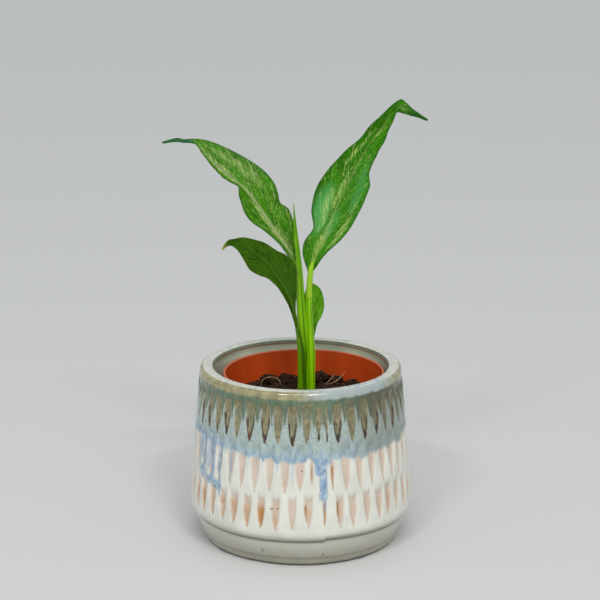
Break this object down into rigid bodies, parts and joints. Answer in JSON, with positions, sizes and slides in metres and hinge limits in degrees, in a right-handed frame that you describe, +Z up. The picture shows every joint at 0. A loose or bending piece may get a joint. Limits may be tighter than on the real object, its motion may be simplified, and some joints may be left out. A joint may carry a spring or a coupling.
{
  "type": "potted peace lily",
  "caption": "Young variegated peace lily in a thin plastic nursery pot, standing inside a squat fluted glazed stoneware planter on clear bumper pads.",
  "frame": {"origin": "on the planter's axis, at the surface that the bumper pads stand on", "axes": "+Z up, -Y towards the front, +X to the right as seen from the front"},
  "size_m": [0.0991, 0.0838, 0.162],
  "materials": {
    "glazed_stoneware": "gloss reactive glaze, grey-green and blue over cream",
    "clear_silicone": "clear, smooth",
    "terracotta_plastic": "satin",
    "compost": "matte, crumbly",
    "coir_fibre": "matte",
    "leaf_stalk": "satin",
    "leaf_blade": "satin, streaked with cream"
  },
  "bodies": {
    "root": {"back_leaf_blade": "leaf_blade", "back_leaf_stalk": "leaf_stalk", "bumper_pad_1": "clear_silicone", "bumper_pad_2": "clear_silicone", "bumper_pad_3": "clear_silicone", "bumper_pad_4": "clear_silicone", "ceramic_planter": "glazed_stoneware", "coir_fibre_1": "coir_fibre", "coir_fibre_2": "coir_fibre", "coir_fibre_3": "coir_fibre", "left_leaf_blade": "leaf_blade", "left_leaf_stalk": "leaf_stalk", "lower_leaf_blade": "leaf_blade", "lower_leaf_stalk": "leaf_stalk", "new_leaf_spear": "leaf_stalk", "nursery_pot": "terracotta_plastic", "peat_clump_1": "compost", "peat_clump_10": "compost", "peat_clump_2": "compost", "peat_clump_3": "compost", "peat_clump_4": "compost", "peat_clump_5": "compost", "peat_clump_6": "compost", "peat_clump_7": "compost", "peat_clump_8": "compost", "peat_clump_9": "compost", "potting_soil": "compost", "right_leaf_blade": "leaf_blade", "right_leaf_stalk": "leaf_stalk"}
  },
  "joints": []
}
